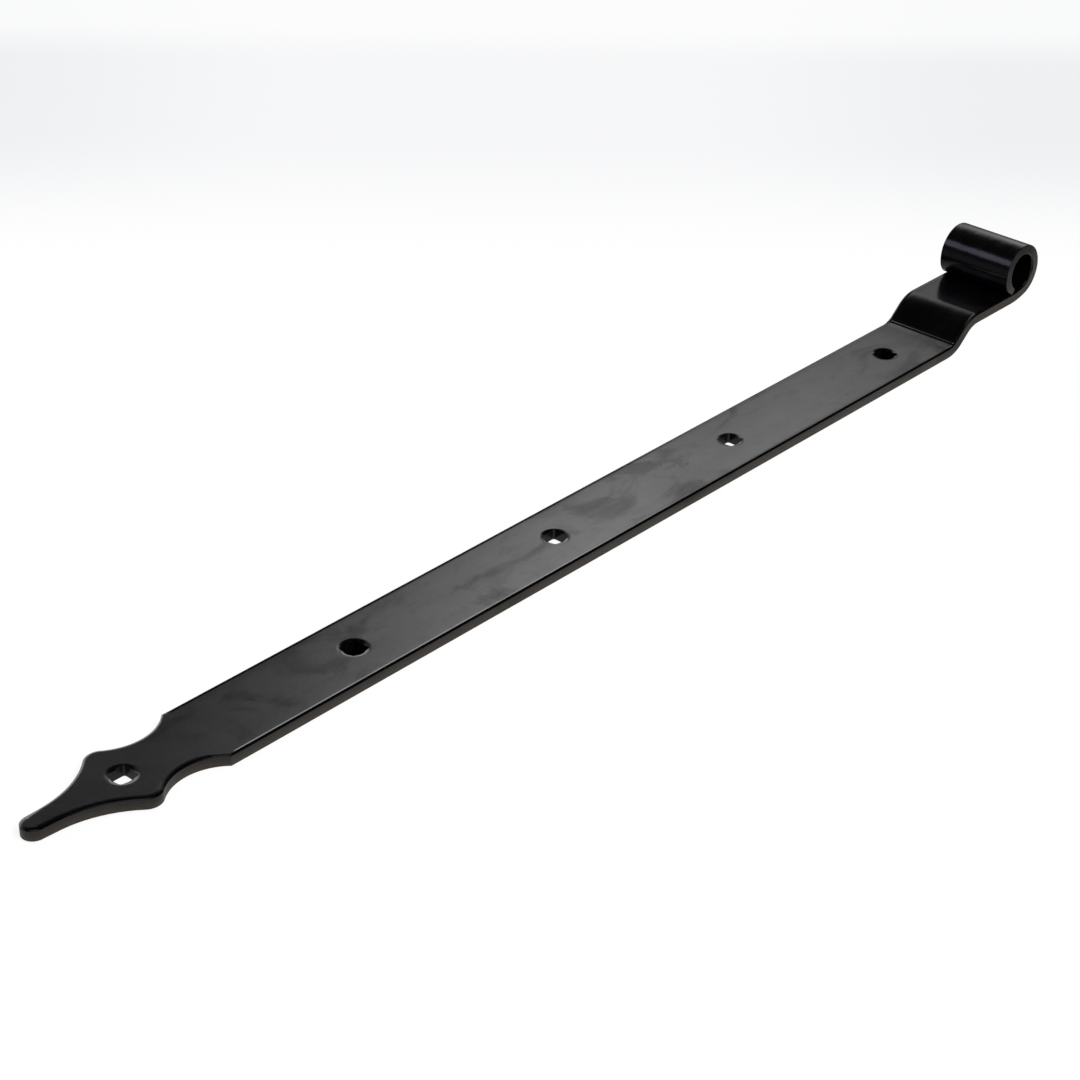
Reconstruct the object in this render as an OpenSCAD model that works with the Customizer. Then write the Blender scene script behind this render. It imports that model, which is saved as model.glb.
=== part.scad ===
// Strap leaf of a hook-and-band door hinge: one flat bar with a rolled pintle eye, a joggle,
// a row of square bolt holes and a spear finial.
// Millimetres. Origin at the centre of the pintle bore. +X runs from the eye to the finial tip,
// +Y along the bore, +Z from the face that lies on the door to the outer face.

/* [Bar] */
// Width of the flat bar
bar_w = 38; // [32:0.5:50]
// Thickness of the flat bar
bar_t = 4.8; // [4:0.1:6]

/* [Eye] */
// Diameter of the pintle bore
bore_d = 17; // [15:0.5:22]
// Height of the underside of the eye above the underside of the flat that leads to it
eye_rise = 1.05; // [0.6:0.05:2]
// Radius of the underside where the flat sweeps up into the eye
lead_r = 38; // [32:1:60]
// Angle below the horizontal at which the lip of the eye starts to thin
lip_thin_from = 15; // [5:1:25]
// Thickness of the lip at its end
lip_end_t = 3; // [2.2:0.1:3.8]
// Gap that is left between the end of the lip and the flat
lip_gap = 0.2; // [0.1:0.05:0.6]

/* [Joggle] */
// Height of the step, from the underside of the bar to the underside of the flat
joggle_h = 10.5; // [7:0.5:14]
// Slope of the ramp
joggle_angle = 40; // [30:1:48]
// Inner radius of both joggle bends
bend_r = 12; // [8:0.5:16]

/* [Bolt holes] */
// Number of square bolt holes
hole_count = 5; // [2:1:6]
// Distance between neighbouring holes
hole_pitch = 114; // [80:1:150]
// Distance from the bore axis to the hole nearest the eye
eye_to_hole = 82; // [78:1:110]
// Distance from that hole to the foot of the joggle
hole_to_joggle = 24; // [18:1:28]
// Width of a square hole
hole_w = 8.8; // [7:0.1:11]
// Corner radius of a square hole
hole_corner_r = 1; // [0.5:0.1:2]
// Diameter of the pressed rim around a hole on the outer face
rim_d = 13.4; // [12.5:0.1:15]
// Depth of the pressed rim
rim_depth = 0.7; // [0.3:0.1:1.2]

/* [Finial] */
// Distance from the outermost hole to the shoulder where the bar ends
shoulder_to_hole = 34.4; // [32:0.2:40]
// Distance from the outermost hole to the end of the tip
hole_to_tip = 44; // [42:0.5:60]
// Radius of the blunt tip
tip_r = 4.9; // [4:0.1:6]
// Angle at which each side of the tip flares towards the lobes
tip_flare = 3; // [1:0.5:5]
// Width across the two lobes
lobe_span = 37.6; // [35:0.2:42]
// Radius of a lobe
lobe_r = 6.5; // [5:0.5:8]
// Distance that the lobes stand back from the outermost hole
lobe_back = 0.4; // [0:0.1:2]
// Radius of the scallops between lobes and shoulders
scallop_r = 22.5; // [20:0.5:28]
// Radius of the hollow sides between lobes and tip
ogee_r = 44; // [38:1:60]

/* [Hidden] */
$fn = 128;

satin_black = [0.055, 0.055, 0.06];
overcut = 1;
// Curves that meet smoothly cross by this much, and pieces overlap by this angle or length there.
blend = 0.0005;
lap_angle = 6;
lap = 2;

// heights, measured from the bore axis
bore_r = bore_d / 2;
eye_r = bore_r + bar_t;
flat_z = -(eye_r + eye_rise);
flat_top_z = flat_z + bar_t;
bar_z = flat_z - joggle_h;
bar_top_z = bar_z + bar_t;

// lead-in: an arc that leaves the flat and meets the outside of the eye, both smoothly
lead_dist = lead_r - eye_r + 2 * blend;
lead_x = sqrt(pow(lead_dist, 2) - pow(lead_r - eye_r - eye_rise, 2));
lead_start = 270 - asin(lead_x / lead_dist);

// lip: its outside is a smaller circle that touches the eye's where the lip starts to thin
lip_start = -lip_thin_from;
lip_end_r = bore_r + lip_end_t;
lip_end = -asin(-(flat_top_z + lip_gap) / lip_end_r);
lip_shift = (pow(eye_r, 2) - pow(lip_end_r, 2)) / (2 * (eye_r - lip_end_r * cos(lip_start - lip_end)));

// joggle: two opposite bends with a straight ramp between them
outer_bend_r = bend_r + bar_t;
joggle_x = eye_to_hole - hole_to_joggle;
ramp_rise = joggle_h - (bend_r + outer_bend_r) * (1 - cos(joggle_angle));
ramp_run = ramp_rise / tan(joggle_angle);
joggle_end_x = joggle_x - (bend_r + outer_bend_r) * sin(joggle_angle) - ramp_run;

// finial, in plan: x along the bar from the outermost hole, y from the centre line
tip_hole_x = eye_to_hole + (hole_count - 1) * hole_pitch;
shoulder = [-shoulder_to_hole, bar_w / 2];
lobe = [-lobe_back, lobe_span / 2 - lobe_r];
tip = [hole_to_tip - tip_r, 0];

// the scallop passes through the shoulder's corner and touches the lobe
to_shoulder = shoulder - lobe;
shoulder_dist = norm(to_shoulder);
along = (pow(scallop_r + lobe_r, 2) - pow(scallop_r, 2) + pow(shoulder_dist, 2)) / (2 * shoulder_dist);
across = sqrt(pow(scallop_r + lobe_r, 2) - pow(along, 2));
scallop = lobe + (along * to_shoulder + across * [to_shoulder[1], -to_shoulder[0]]) / shoulder_dist;

// the hollow side touches the lobe and the flaring side of the tip
side_out = [sin(tip_flare), cos(tip_flare)];
side_in = [-cos(tip_flare), sin(tip_flare)];
ogee_start = tip + (tip_r + ogee_r) * side_out;
reach = (lobe - ogee_start) * side_in;
ogee_slide = reach - sqrt(pow(reach, 2) - pow(norm(lobe - ogee_start), 2) + pow(ogee_r + lobe_r, 2));
ogee = ogee_start + ogee_slide * side_in;

function polar(r, a) = [r * cos(a), r * sin(a)];

// A bent stretch of bar between two radii about the bend's centre. It covers the angles from
// outer[0] to outer[1] on its outside and from inner[0] to inner[1] on its inside.
module bend(inner_r, outer_r, inner, outer) {
    steps = ceil((outer[1] - outer[0]) / 60);
    difference() {
        intersection() {
            circle(outer_r);
            polygon(concat(
                [[0, 0], polar(inner_r, inner[0]), polar(outer_r, outer[0])],
                [for (i = [0:steps]) polar(2 * outer_r, outer[0] + i * (outer[1] - outer[0]) / steps)],
                [polar(outer_r, outer[1]), polar(inner_r, inner[1])]));
        }
        circle(inner_r);
    }
}

// the lip of the eye, from its overlap with the eye to its square end
module lip() {
    difference() {
        intersection() {
            translate(polar(lip_shift + blend, lip_start)) circle(eye_r - lip_shift);
            polygon([[0, 0], polar(2 * eye_r, lip_end), polar(2 * eye_r, (lip_start + lip_end) / 2),
                     polar(2 * eye_r, lip_start), polar(eye_r, lip_start + lap_angle)]);
        }
        circle(bore_r);
    }
}

// the eye seen along the bore, with the stretch that leads into it from the flat
module eye_profile() {
    bend(bore_r, eye_r, [lip_start - lap_angle, lead_start], [lip_start, lead_start + lap_angle]);
    lip();
    translate([lead_x, flat_z + lead_r])
        bend(lead_r - bar_t + blend, lead_r + blend, [lead_start - lap_angle, 270],
             [lead_start, 270 + lap_angle]);
}

// one bend of the joggle: it turns from angle a0 to a1 between two straight stretches
module joggle_bend(a0, a1) {
    bend(bend_r + blend, outer_bend_r + blend, [a0, a1], [a0 - lap_angle, a1 + lap_angle]);
}

// the joggle seen along the bore, with the flat before it and the start of the bar after it
module joggle_profile() {
    slope = [-cos(joggle_angle), sin(joggle_angle)];
    face = bar_t * [sin(joggle_angle), cos(joggle_angle)];
    foot = [joggle_x, bar_z + outer_bend_r];
    head = [joggle_end_x, flat_z - bend_r];
    foot_end = foot + polar(outer_bend_r, 270 - joggle_angle);
    head_start = head + polar(bend_r, 90 - joggle_angle);
    polygon([[lead_x, flat_z], [joggle_end_x + lap, flat_z], [joggle_end_x, flat_top_z],
             [lead_x - lap, flat_top_z]]);
    translate(head) joggle_bend(90 - joggle_angle, 90);
    polygon([foot_end, head_start + lap * slope, head_start + face, foot_end + face - lap * slope]);
    translate(foot) joggle_bend(270 - joggle_angle, 270);
    polygon([[joggle_x, bar_z], [joggle_x + 2 * lap, bar_z], [joggle_x + 2 * lap, bar_top_z],
             [joggle_x - lap, bar_top_z]]);
}

// the strap in plan, from just past the joggle to the tip; the origin is the outermost hole
module plan() {
    bar_start = [joggle_x + lap - tip_hole_x, bar_w / 2];
    lobe_to_scallop = lobe + lobe_r * (scallop - lobe) / norm(scallop - lobe);
    lobe_to_ogee = lobe + lobe_r * (ogee - lobe) / norm(ogee - lobe);
    half = [bar_start, shoulder, lobe_to_scallop, lobe_to_ogee, ogee - ogee_r * side_out,
            tip + tip_r * side_out];
    difference() {
        union() {
            polygon(concat(half, [for (i = [len(half) - 1:-1:0]) [half[i][0], -half[i][1]]]));
            translate(tip) circle(tip_r + blend);
            for (s = [-1, 1]) translate([lobe[0], s * lobe[1]]) circle(lobe_r);
        }
        for (s = [-1, 1]) {
            translate([scallop[0], s * scallop[1]]) circle(scallop_r + blend);
            translate([ogee[0], s * ogee[1]]) circle(ogee_r + blend);
        }
    }
}

module rounded_square(w, r) {
    square([w, w - 2 * r], center = true);
    square([w - 2 * r, w], center = true);
    for (x = [-1, 1], y = [-1, 1]) translate([x, y] * (w / 2 - r)) circle(r);
}

// one bolt hole: square through the bar, with a round pressed rim on the outer face
module bolt_hole() {
    slope = (rim_d - hole_w) / rim_depth;
    translate([0, 0, bar_z - overcut]) linear_extrude(bar_t + 2 * overcut)
        rounded_square(hole_w, hole_corner_r);
    translate([0, 0, bar_top_z - rim_depth])
        cylinder(h = rim_depth + overcut, d1 = hole_w, d2 = rim_d + slope * overcut);
}

module strap() {
    color(satin_black) difference() {
        union() {
            rotate([90, 0, 0]) linear_extrude(bar_w, center = true) {
                eye_profile();
                joggle_profile();
            }
            translate([tip_hole_x, 0, bar_z]) linear_extrude(bar_t) plan();
        }
        for (i = [0:hole_count - 1]) translate([eye_to_hole + i * hole_pitch, 0, 0]) bolt_hole();
    }
}

strap();
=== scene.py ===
"""Looks of the strap leaf of a hook-and-band hinge: one forged bar in satin black paint.

The leaf is drawn in plan, pulled up to its thickness, punched, and its open end is then
swept through the joggle and rolled into the eye.
"""

import math

import bmesh
import bpy
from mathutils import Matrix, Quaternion, Vector


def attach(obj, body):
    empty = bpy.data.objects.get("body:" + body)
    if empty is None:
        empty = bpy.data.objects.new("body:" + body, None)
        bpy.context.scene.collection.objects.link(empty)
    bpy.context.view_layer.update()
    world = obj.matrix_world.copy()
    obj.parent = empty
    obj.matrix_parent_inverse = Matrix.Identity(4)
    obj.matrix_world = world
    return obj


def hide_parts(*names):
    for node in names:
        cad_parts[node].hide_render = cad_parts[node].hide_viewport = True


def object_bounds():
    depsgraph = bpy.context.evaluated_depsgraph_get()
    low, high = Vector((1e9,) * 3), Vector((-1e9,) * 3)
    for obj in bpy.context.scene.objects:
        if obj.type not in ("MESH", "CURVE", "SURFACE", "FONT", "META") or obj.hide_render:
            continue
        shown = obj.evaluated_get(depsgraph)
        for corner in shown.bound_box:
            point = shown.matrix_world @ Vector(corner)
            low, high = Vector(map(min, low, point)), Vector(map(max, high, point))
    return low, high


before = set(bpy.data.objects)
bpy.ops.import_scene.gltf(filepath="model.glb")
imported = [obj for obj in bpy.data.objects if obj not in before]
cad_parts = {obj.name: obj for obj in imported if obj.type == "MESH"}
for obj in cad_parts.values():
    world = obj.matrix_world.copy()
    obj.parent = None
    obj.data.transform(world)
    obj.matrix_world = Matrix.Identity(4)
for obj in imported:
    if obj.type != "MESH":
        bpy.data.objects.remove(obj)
cad_low, cad_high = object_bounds()

MM = 0.001

# ---------------------------------------------------------------- sizes of the leaf, in metres
BAR_HALF_WIDTH = 19 * MM
BAR_THICKNESS = 4.8 * MM

BORE_RADIUS = 8.5 * MM
EYE_RADIUS = BORE_RADIUS + BAR_THICKNESS
EYE_RISE = 1.05 * MM
LEAD_RADIUS = 38 * MM
LIP_START = math.radians(-15)
LIP_END_THICKNESS = 3 * MM
LIP_END_RADIUS = BORE_RADIUS + LIP_END_THICKNESS
LIP_GAP = 0.05 * MM

JOGGLE_HEIGHT = 10.5 * MM
JOGGLE_ANGLE = math.radians(40)
BEND_INNER = 12 * MM
BEND_OUTER = BEND_INNER + BAR_THICKNESS
JOGGLE_FOOT = 58 * MM

HOLE_COUNT = 5
FIRST_HOLE = 82 * MM
HOLE_PITCH = 114 * MM
LAST_HOLE = FIRST_HOLE + (HOLE_COUNT - 1) * HOLE_PITCH
HOLE_WIDTH = 8.8 * MM
HOLE_CORNER = 1 * MM
CORNER_STEPS = 5
# how wide the punch rolled the outer face down round each hole, from the eye to the tip
RIM_RADII = (7 * MM, 6.5 * MM, 7 * MM, 7.1 * MM, 7.1 * MM)
RIM_ROLL = 3.4 * MM
RIM_DROP = 0.5
# how far the dish of a rim reaches in past the flats of the square throat
RIM_OVERLAP = 0.2 * MM
RIM_STEPS = 9
RIM_SIDES = 64

SHOULDER_TO_HOLE = 34.4 * MM
HOLE_TO_TIP = 44 * MM
TIP_RADIUS = 4.9 * MM
TIP_FLARE = math.radians(3)
LOBE_SPAN = 37.6 * MM
LOBE_RADIUS = 6.5 * MM
LOBE_BACK = 0.4 * MM
SCALLOP_RADIUS = 22.5 * MM
OGEE_RADIUS = 44 * MM
SHOULDER_X = LAST_HOLE - SHOULDER_TO_HOLE
TIP_X = LAST_HOLE + HOLE_TO_TIP - TIP_RADIUS

# how far the joggling die moves the top of the lower bend, by the angle turned, and whether it
# leaves a crisp line there: pressed in up to its edge, then a step, a ledge, and the plain bend
CREASE = (
    (5, -0.04 * MM, False),
    (10, -0.14 * MM, False),
    (15, -0.29 * MM, False),
    (20, -0.48 * MM, True),
    (24, -0.20 * MM, True),
    (26.5, -0.35 * MM, True),
    (29, -0.22 * MM, False),
    (33, 0.0, False),
    (36, 0.0, False),
    (40, 0.0, False),
)

# heights over the bore axis
FLAT_TOP = -EYE_RADIUS - EYE_RISE + BAR_THICKNESS
FLAT_BOTTOM = FLAT_TOP - BAR_THICKNESS
BAR_BOTTOM = FLAT_BOTTOM - JOGGLE_HEIGHT
BAR_TOP = BAR_BOTTOM + BAR_THICKNESS
LIP_END = math.asin((FLAT_TOP + LIP_GAP) / LIP_END_RADIUS)

# edge rounding: the shear pulls the outer face down by ROLL_DROP, over these widths
WIDEST_ROUND = 3.2 * MM
BAR_ROUND = 0.9 * MM
BAR_CREST = BAR_HALF_WIDTH - BAR_ROUND
BAR_DROP = 0.4 * MM
NEAR_ROUND = 3 * MM
FAR_ROUND = 1.4 * MM
TIP_ROUND = 2.6 * MM
ROLL_DROP = 0.62 * MM
ROLL_GROW = 8 * MM
ROLL_GROW_STEPS = 4
LOWER_ROUND = 0.3 * MM
LIP_ROUND = 0.35 * MM
LIP_ROUND_TURN = math.radians(80)
LIP_ROUND_STEPS = 4
ROUND_STEPS = 6
LIP_SWEEP_END = LIP_END + math.atan(LIP_ROUND / (BORE_RADIUS + LIP_END_THICKNESS / 2))

# rolling leaves the long top edges of the bar a little low, with a thin raised lip at the very
# edge that fades out towards the joggle
CROWN_WIDTH = 3 * MM
CROWN_DROP = 0.07 * MM
BURR_HEIGHT = 0.15 * MM
BURR_WIDTH = 0.8 * MM
BURR_RUN_OUT = 1.2 * MM
BURR_END_TAPER = 3 * MM
BURR_FADE = (
    (60 * MM, 0.4),
    (120 * MM, 0.5),
    (190 * MM, 0.6),
    (260 * MM, 0.8),
    (330 * MM, 1.0),
)

# the spear is set up a little and leans to one side, as it left the hammer
SPEAR_LIFT = 0.5 * MM
SPEAR_LEAN = 0.7 * MM
SPEAR_LIFT_REACH = 60 * MM
SPEAR_LEAN_REACH = 34 * MM
# the flat faces are sliced for it, from this far before the shoulder
SPEAR_LEAD_IN = 12 * MM
SPEAR_SLICE = 6 * MM
SPEAR_SLICES = 16

# how far the outer edges of the eye draw in as the bar is rolled, growing from reach to reach
EYE_DRAW = 0.992
EYE_DRAW_REACHES = (6 * MM, 2 * MM, -2 * MM)

ARC_STEP = math.radians(4)
HEAD_STEPS = 14
LEAD_STEPS = 6
LIP_STEPS = 12
SHADE_ANGLE = math.radians(35)
TINY = 0.02 * MM


# ---------------------------------------------------------------- modelling helpers
def deselect_all():
    bpy.ops.object.select_all(action="DESELECT")


def edit(obj, mode):
    """Opens obj in edit mode with nothing selected. mode is VERT, EDGE or FACE."""
    deselect_all()
    bpy.context.view_layer.objects.active = obj
    obj.select_set(True)
    bpy.ops.object.mode_set(mode="EDIT")
    bpy.ops.mesh.select_mode(type=mode)
    bpy.ops.mesh.select_all(action="DESELECT")


def leave_edit():
    bpy.ops.object.mode_set(mode="OBJECT")


def pick_verts(obj, test):
    """Selects the points that pass the test, and whatever lies wholly between them."""
    mesh = bmesh.from_edit_mesh(obj.data)
    bpy.ops.mesh.select_mode(type="VERT")
    bpy.ops.mesh.select_all(action="DESELECT")
    for vert in mesh.verts:
        vert.select_set(bool(test(vert.co)))
    mesh.select_flush_mode()
    bmesh.update_edit_mesh(obj.data)


def pick_edges(obj, test):
    """Selects the edges that pass the test, which gets their two ends."""
    mesh = bmesh.from_edit_mesh(obj.data)
    bpy.ops.mesh.select_mode(type="EDGE")
    bpy.ops.mesh.select_all(action="DESELECT")
    for edge in mesh.edges:
        edge.select_set(bool(test(edge.verts[0].co, edge.verts[1].co)))
    bmesh.update_edit_mesh(obj.data)


def pick_faces(obj, test):
    """Selects the faces that pass the test, which gets their centre and normal."""
    mesh = bmesh.from_edit_mesh(obj.data)
    mesh.normal_update()
    bpy.ops.mesh.select_mode(type="FACE")
    bpy.ops.mesh.select_all(action="DESELECT")
    for face in mesh.faces:
        face.select_set(bool(test(face.calc_center_median(), face.normal)))
    bmesh.update_edit_mesh(obj.data)


def slide(x=0.0, y=0.0, z=0.0):
    bpy.ops.transform.translate(value=(x, y, z))


def pull(x=0.0, y=0.0, z=0.0):
    bpy.ops.mesh.extrude_region_move(TRANSFORM_OT_translate={"value": (x, y, z)})


def use_modifier(obj, kind, **settings):
    """Adds a modifier with these settings and applies it."""
    deselect_all()
    bpy.context.view_layer.objects.active = obj
    obj.select_set(True)
    modifier = obj.modifiers.new(kind.lower(), kind)
    for name, value in settings.items():
        setattr(modifier, name, value)
    bpy.ops.object.modifier_apply(modifier=modifier.name)


def cut_away(obj, cutter):
    """Cuts the shape of cutter out of obj and throws cutter away."""
    use_modifier(obj, "BOOLEAN", operation="DIFFERENCE", solver="EXACT", object=cutter)
    bpy.data.objects.remove(cutter)


def steps_for(angle):
    return max(2, round(abs(angle) / ARC_STEP))


# ---------------------------------------------------------------- plan of the leaf
def circle_meet(centre_a, radius_a, centre_b, radius_b):
    """The point, right of the way from a to b, where two circles meet."""
    way = centre_b - centre_a
    along = (radius_a**2 - radius_b**2 + way.length_squared) / (2 * way.length)
    across = math.sqrt(radius_a**2 - along**2)
    return centre_a + (along * way + across * Vector((way.y, -way.x))) / way.length


def plan_points():
    """Centres and ends of the arcs on the +Y side of the finial, from the shoulder to the tip."""
    shoulder = Vector((SHOULDER_X, BAR_HALF_WIDTH))
    lobe = Vector((LAST_HOLE - LOBE_BACK, LOBE_SPAN / 2 - LOBE_RADIUS))
    tip = Vector((TIP_X, 0))
    scallop = circle_meet(lobe, SCALLOP_RADIUS + LOBE_RADIUS, shoulder, SCALLOP_RADIUS)
    out = Vector((math.sin(TIP_FLARE), math.cos(TIP_FLARE)))
    back = Vector((-math.cos(TIP_FLARE), math.sin(TIP_FLARE)))
    start = tip + (TIP_RADIUS + OGEE_RADIUS) * out
    reach = (lobe - start).dot(back)
    gap = (OGEE_RADIUS + LOBE_RADIUS) ** 2 - (lobe - start).length_squared
    ogee = start + (reach - math.sqrt(reach**2 + gap)) * back
    return {
        "shoulder": shoulder,
        "scallop": scallop,
        "scallop_end": lobe + LOBE_RADIUS * (scallop - lobe).normalized(),
        "lobe": lobe,
        "lobe_end": lobe + LOBE_RADIUS * (ogee - lobe).normalized(),
        "ogee": ogee,
        "ogee_end": ogee - OGEE_RADIUS * out,
        "flank_end": tip + TIP_RADIUS * out,
        "tip": tip,
        "tip_end": tip + Vector((TIP_RADIUS, 0)),
    }


def draw_arc(centre, start, end):
    """Carries the selected point of the plan round centre, from start to end."""
    a, b = start - centre, end - centre
    angle = math.atan2(a.x * b.y - a.y * b.x, a.dot(b))
    bpy.ops.mesh.spin(
        steps=steps_for(angle),
        angle=-angle,
        center=(centre.x, centre.y, BAR_BOTTOM),
        axis=(0, 0, 1),
    )


def draw_line(start, end):
    pull(end.x - start.x, end.y - start.y)


def draw_half_plan(name):
    """One half of the flat stretch of the leaf, from the foot of the joggle to the tip, as a face."""
    p = plan_points()
    foot = Vector((JOGGLE_FOOT, BAR_HALF_WIDTH))
    deselect_all()
    bpy.ops.mesh.primitive_plane_add(size=2 * MM, location=(foot.x, foot.y, BAR_BOTTOM))
    leaf = bpy.context.object
    leaf.name = name
    bpy.ops.object.transform_apply(location=True, rotation=True, scale=True)
    edit(leaf, "VERT")
    pick_verts(leaf, lambda co: co.x > foot.x or co.y > foot.y)
    bpy.ops.mesh.delete(type="VERT")
    pick_verts(leaf, lambda co: True)
    slide(MM, MM)
    draw_line(foot, p["shoulder"])
    draw_arc(p["scallop"], p["shoulder"], p["scallop_end"])
    draw_arc(p["lobe"], p["scallop_end"], p["lobe_end"])
    draw_arc(p["ogee"], p["lobe_end"], p["ogee_end"])
    draw_line(p["ogee_end"], p["flank_end"])
    draw_arc(p["tip"], p["flank_end"], p["tip_end"])
    draw_line(p["tip_end"], Vector((JOGGLE_FOOT, 0)))
    bpy.ops.mesh.select_all(action="SELECT")
    bpy.ops.mesh.edge_face_add()
    return leaf


# ---------------------------------------------------------------- the leaf
def thicken(leaf):
    """Pulls the half plan up to the bar's thickness and mirrors it across the centre line."""
    pull(z=BAR_THICKNESS)
    pick_faces(leaf, lambda co, n: abs(co.y) < TINY and n.y < -0.9)
    bpy.ops.mesh.delete(type="ONLY_FACE")
    leave_edit()
    use_modifier(leaf, "MIRROR", use_axis=(False, True, False), merge_threshold=TINY)
    edit(leaf, "FACE")
    bpy.ops.mesh.select_all(action="SELECT")
    bpy.ops.mesh.normals_make_consistent(inside=False)
    leave_edit()


def weigh_edges(leaf, test, rounding):
    """Marks the edges that pass the test to be rounded by this much."""
    pick_edges(leaf, test)
    bpy.ops.transform.edge_bevelweight(value=-1)
    bpy.ops.transform.edge_bevelweight(value=rounding / WIDEST_ROUND)


def roll_stretches():
    """Stretches of the top outline: side, start and end along X, width and drop of its rounding."""
    stretches = []
    for side, wide in ((1, NEAR_ROUND), (-1, FAR_ROUND)):
        stretches.append((side, -1, SHOULDER_X, BAR_ROUND, BAR_DROP))
        for step in range(ROLL_GROW_STEPS):
            low = SHOULDER_X + step * ROLL_GROW / ROLL_GROW_STEPS
            share = (step + 0.5) / ROLL_GROW_STEPS
            width = BAR_ROUND + share * (wide - BAR_ROUND)
            drop = BAR_DROP + share * (ROLL_DROP - BAR_DROP)
            stretches.append((side, low, low + ROLL_GROW / ROLL_GROW_STEPS, width, drop))
        stretches.append((side, SHOULDER_X + ROLL_GROW, TIP_X, wide, ROLL_DROP))
        stretches.append((side, TIP_X, 1, TIP_ROUND, ROLL_DROP))
    return stretches


def round_edges(leaf):
    """Rounds the long edges of the bar and, more softly, the stamped edges of the finial."""

    def outline_edge(a, b, height):
        at_height = abs(a.z - height) < TINY and abs(b.z - height) < TINY
        on_axis = abs(a.y) < TINY and abs(b.y) < TINY
        across = abs(a.x - JOGGLE_FOOT) < TINY and abs(b.x - JOGGLE_FOOT) < TINY
        return at_height and not on_axis and not across

    edit(leaf, "EDGE")
    for side, low, high, width, _ in roll_stretches():
        weigh_edges(
            leaf,
            lambda a, b: outline_edge(a, b, BAR_TOP)
            and low < (a.x + b.x) / 2 <= high
            and side * (a.y + b.y) >= 0,
            width,
        )
    weigh_edges(leaf, lambda a, b: outline_edge(a, b, BAR_BOTTOM), LOWER_ROUND)
    leave_edit()
    use_modifier(
        leaf,
        "BEVEL",
        limit_method="WEIGHT",
        width=WIDEST_ROUND,
        segments=ROUND_STEPS,
        use_clamp_overlap=False,
    )
    edit(leaf, "VERT")
    for side, low, high, width, drop in roll_stretches():
        pick_verts(
            leaf,
            lambda co: BAR_TOP - WIDEST_ROUND - TINY < co.z < BAR_TOP - TINY
            and low < co.x <= high
            and (co.y > -TINY) == (side > 0),
        )
        bpy.ops.transform.resize(value=(1, 1, drop / width), center_override=(0, 0, BAR_TOP))
    leave_edit()


def raise_burr(leaf):
    """Lowers the long top edges of the bar a little and raises the thin lip along them."""
    end = SHOULDER_X - BURR_RUN_OUT
    edit(leaf, "FACE")
    for x in (end, end - BURR_END_TAPER, *(x for x, _ in BURR_FADE)):
        bpy.ops.mesh.select_all(action="SELECT")
        bpy.ops.mesh.bisect(plane_co=(x, 0, 0), plane_no=(1, 0, 0))
    for y in (BAR_CREST - CROWN_WIDTH, BAR_CREST - BURR_WIDTH):
        for side in (-1, 1):
            pick_faces(
                leaf, lambda co, n: co.x < end and n.z > 0.9 and abs(co.z - BAR_TOP) < TINY
            )
            bpy.ops.mesh.bisect(plane_co=(0, side * y, 0), plane_no=(0, 1, 0))
    pick_verts(
        leaf,
        lambda co: co.x < end - TINY
        and co.z > BAR_TOP - ROLL_DROP - TINY
        and abs(co.y) > BAR_CREST - BURR_WIDTH - TINY,
    )
    slide(z=-CROWN_DROP)
    done = 0
    for x, share in BURR_FADE:
        pick_verts(
            leaf,
            lambda co: x - TINY < co.x < end - TINY
            and co.z > BAR_TOP - CROWN_DROP - TINY
            and abs(abs(co.y) - BAR_CREST) < TINY,
        )
        slide(z=(share - done) * BURR_HEIGHT)
        done = share
    pick_verts(
        leaf,
        lambda co: co.x < BURR_FADE[0][0] - TINY
        and co.z > BAR_TOP - CROWN_DROP - TINY
        and abs(abs(co.y) - BAR_CREST) < TINY,
    )
    slide(z=BURR_FADE[0][1] * BURR_HEIGHT)
    leave_edit()


def rim_cutter(x, radius):
    """The dish that the punch presses round a bolt hole: its wall rolls over into the outer face."""
    deselect_all()
    bpy.ops.mesh.primitive_plane_add(size=2 * MM, location=(x, 0, BAR_TOP))
    cutter = bpy.context.object
    bpy.ops.object.transform_apply(location=True, rotation=True, scale=True)
    edit(cutter, "VERT")
    pick_verts(cutter, lambda co: co.x < x or co.y > 0)
    bpy.ops.mesh.delete(type="VERT")
    pick_verts(cutter, lambda co: True)
    slide(radius - MM, MM, MM)
    pull(z=-MM)
    roll = math.asin((radius - HOLE_WIDTH / 2 + RIM_OVERLAP) / RIM_ROLL)
    bpy.ops.mesh.spin(
        steps=RIM_STEPS, angle=roll, center=(x + radius, 0, BAR_TOP - RIM_ROLL), axis=(0, 1, 0)
    )
    pick_verts(cutter, lambda co: co.z < BAR_TOP - TINY / 4)
    bpy.ops.transform.resize(value=(1, 1, RIM_DROP), center_override=(x, 0, BAR_TOP))
    pick_verts(cutter, lambda co: True)
    bpy.ops.mesh.spin(steps=RIM_SIDES, angle=2 * math.pi, center=(x, 0, 0), axis=(0, 0, 1))
    bpy.ops.mesh.select_all(action="SELECT")
    bpy.ops.mesh.remove_doubles(threshold=TINY / 4)
    for height in (BAR_TOP + MM, BAR_TOP - RIM_DROP * RIM_ROLL * (1 - math.cos(roll))):
        pick_edges(
            cutter,
            lambda a, b: abs(a.z - height) < TINY / 4 and abs(b.z - height) < TINY / 4,
        )
        bpy.ops.mesh.edge_face_add()
    bpy.ops.mesh.select_all(action="SELECT")
    bpy.ops.mesh.normals_make_consistent(inside=False)
    leave_edit()
    return cutter


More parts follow.
